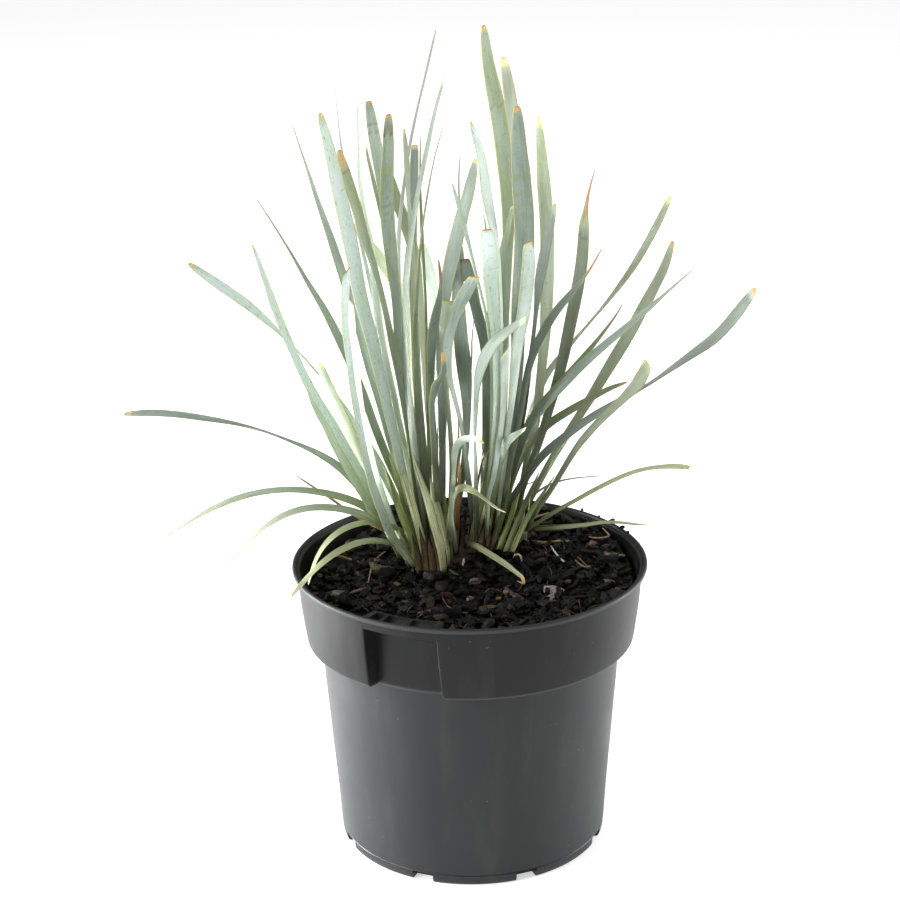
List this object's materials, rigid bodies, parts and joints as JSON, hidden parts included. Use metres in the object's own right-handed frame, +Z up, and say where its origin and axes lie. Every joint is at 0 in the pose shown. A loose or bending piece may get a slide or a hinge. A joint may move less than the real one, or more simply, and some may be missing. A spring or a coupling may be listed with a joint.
{
  "type": "potted lomandra",
  "caption": "Strap-leaved clumping lomandra with upright and arching glaucous leaves, growing from bark mix in a round black plastic nursery pot with a stepped collar.",
  "frame": {"origin": "middle of the pot's flat underside", "axes": "+Z up along the pot's axis, -Y towards the viewer of the picture, +X to the viewer's right"},
  "size_m": [0.2476, 0.1722, 0.3302],
  "materials": {
    "charcoal_plastic": "matte, faintly dusty",
    "bark_mix": "moist black bark chunks",
    "brown_sheath": "dry fibrous leaf bases",
    "leaf_pale": "waxy bloom",
    "leaf_grey": "satin, finely veined",
    "leaf_green": "satin, finely veined",
    "leaf_banded": "satin, finely veined",
    "leaf_olive": "satin, finely veined",
    "leaf_dark": "satin, finely veined",
    "leaf_straw": "thin and dry-edged"
  },
  "bodies": {
    "root": {"pot": "charcoal_plastic", "potting_mix": "bark_mix", "left_crown": "brown_sheath", "right_crown": "brown_sheath", "leaf_left_01": "leaf_pale", "leaf_left_02": "leaf_green", "leaf_left_03": "leaf_grey", "leaf_left_04": "leaf_dark", "leaf_left_05": "leaf_olive", "leaf_left_06": "leaf_banded", "leaf_left_07": "leaf_olive", "leaf_left_08": "leaf_green", "leaf_left_09": "leaf_dark", "leaf_left_10": "leaf_dark", "leaf_left_11": "leaf_grey", "leaf_left_12": "leaf_grey", "leaf_left_13": "leaf_dark", "leaf_left_14": "leaf_green", "leaf_left_15": "leaf_grey", "leaf_left_16": "leaf_dark", "leaf_left_17": "leaf_pale", "leaf_left_18": "leaf_pale", "leaf_left_19": "leaf_pale", "leaf_left_20": "leaf_green", "leaf_left_21": "leaf_pale", "leaf_left_22": "leaf_green", "leaf_left_23": "leaf_grey", "leaf_left_24": "leaf_green", "leaf_left_25": "leaf_green", "leaf_left_26": "leaf_straw", "leaf_left_27": "leaf_straw", "leaf_right_01": "leaf_green", "leaf_right_02": "leaf_grey", "leaf_right_03": "leaf_grey", "leaf_right_04": "leaf_pale", "leaf_right_05": "leaf_green", "leaf_right_06": "leaf_grey", "leaf_right_07": "leaf_pale", "leaf_left_28": "leaf_grey", "leaf_right_08": "leaf_pale", "leaf_right_09": "leaf_pale", "leaf_right_10": "leaf_green", "leaf_right_11": "leaf_dark", "leaf_right_12": "leaf_green", "leaf_right_13": "leaf_green", "leaf_right_14": "leaf_grey", "leaf_right_15": "leaf_pale", "leaf_right_16": "leaf_green", "leaf_right_17": "leaf_olive", "leaf_right_18": "leaf_straw", "leaf_right_19": "leaf_straw", "leaf_right_20": "leaf_pale", "leaf_right_21": "leaf_dark", "leaf_left_29": "leaf_grey", "leaf_left_30": "leaf_pale", "leaf_left_31": "leaf_straw", "leaf_left_32": "leaf_straw", "leaf_right_22": "leaf_pale", "leaf_right_23": "leaf_green", "leaf_right_24": "leaf_grey"}
  },
  "joints": []
}
